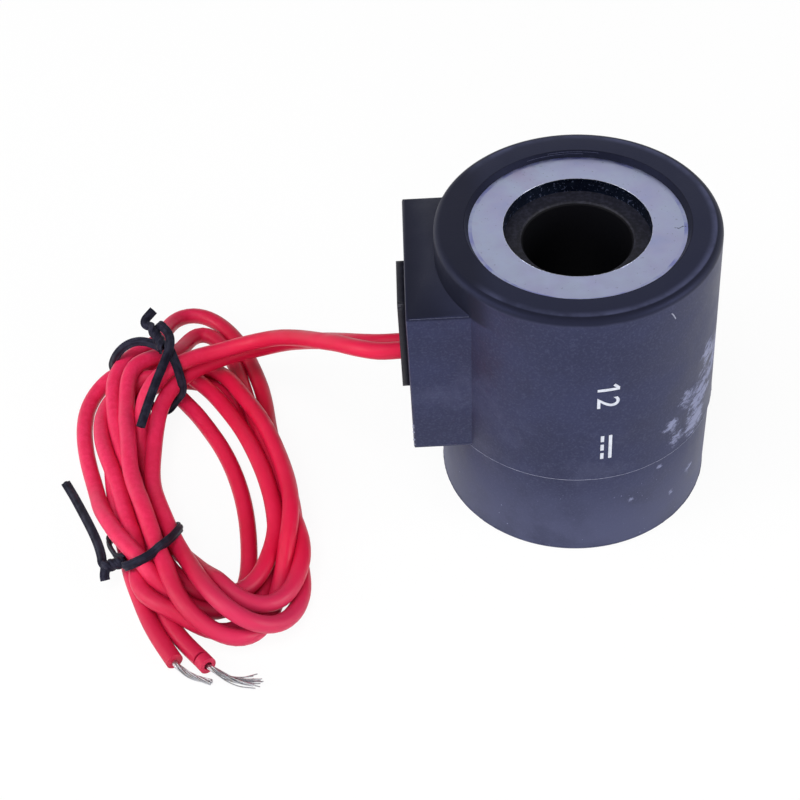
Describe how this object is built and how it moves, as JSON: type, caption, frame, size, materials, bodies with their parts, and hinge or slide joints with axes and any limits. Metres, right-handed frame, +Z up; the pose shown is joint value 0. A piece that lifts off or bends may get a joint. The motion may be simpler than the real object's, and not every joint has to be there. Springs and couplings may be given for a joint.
{
  "type": "solenoid valve coil",
  "caption": "Encapsulated round solenoid valve coil with a through bore, flux washers at both ends, a side lead boss and flying leads tied in a hank.",
  "frame": {"origin": "centre of the through bore, on the base plane that the coil stands on", "axes": "+Z up the bore, from the base to the open end with the wide washer ledge; -X out through the lead boss"},
  "size_m": [0.1054, 0.0802, 0.049],
  "materials": {
    "moulded_plastic": "glass-filled moulding, matte",
    "zinc_plated_steel": "pressed steel, zinc plated, satin",
    "plain_steel": "rolled sheet, satin",
    "bobbin_plastic": "moulded, matte",
    "copper": "enamelled wire, gloss",
    "polyester_tape": "wrapped film tape",
    "tinned_crimp": "tinned, satin",
    "shrink_sleeve": "shrunk tube, satin",
    "grommet_plastic": "moulded, matte",
    "lead_insulation": "extruded, satin",
    "tinned_copper": "tinned strands, bright",
    "tie_vinyl": "extruded strip, satin"
  },
  "bodies": {
    "root": {"housing": "moulded_plastic", "base_shell": "moulded_plastic", "top_flux_washer": "zinc_plated_steel", "bottom_flux_washer": "zinc_plated_steel", "flux_sleeve": "plain_steel", "bobbin": "bobbin_plastic", "winding": "copper", "winding_wrap": "polyester_tape", "winding_start_wire": "copper", "winding_finish_wire": "copper", "crimp_splice_a": "tinned_crimp", "crimp_splice_b": "tinned_crimp", "splice_sleeve_a": "shrink_sleeve", "splice_sleeve_b": "shrink_sleeve", "lead_grommet": "grommet_plastic", "lead_a": "lead_insulation", "lead_b": "lead_insulation", "lead_hank": "lead_insulation", "lead_a_tail": "lead_insulation", "lead_b_tail": "lead_insulation", "lead_a_strands": "tinned_copper", "lead_b_strands": "tinned_copper", "insulation_slug": "lead_insulation", "upper_tie": "tie_vinyl", "lower_tie": "tie_vinyl"}
  },
  "joints": []
}
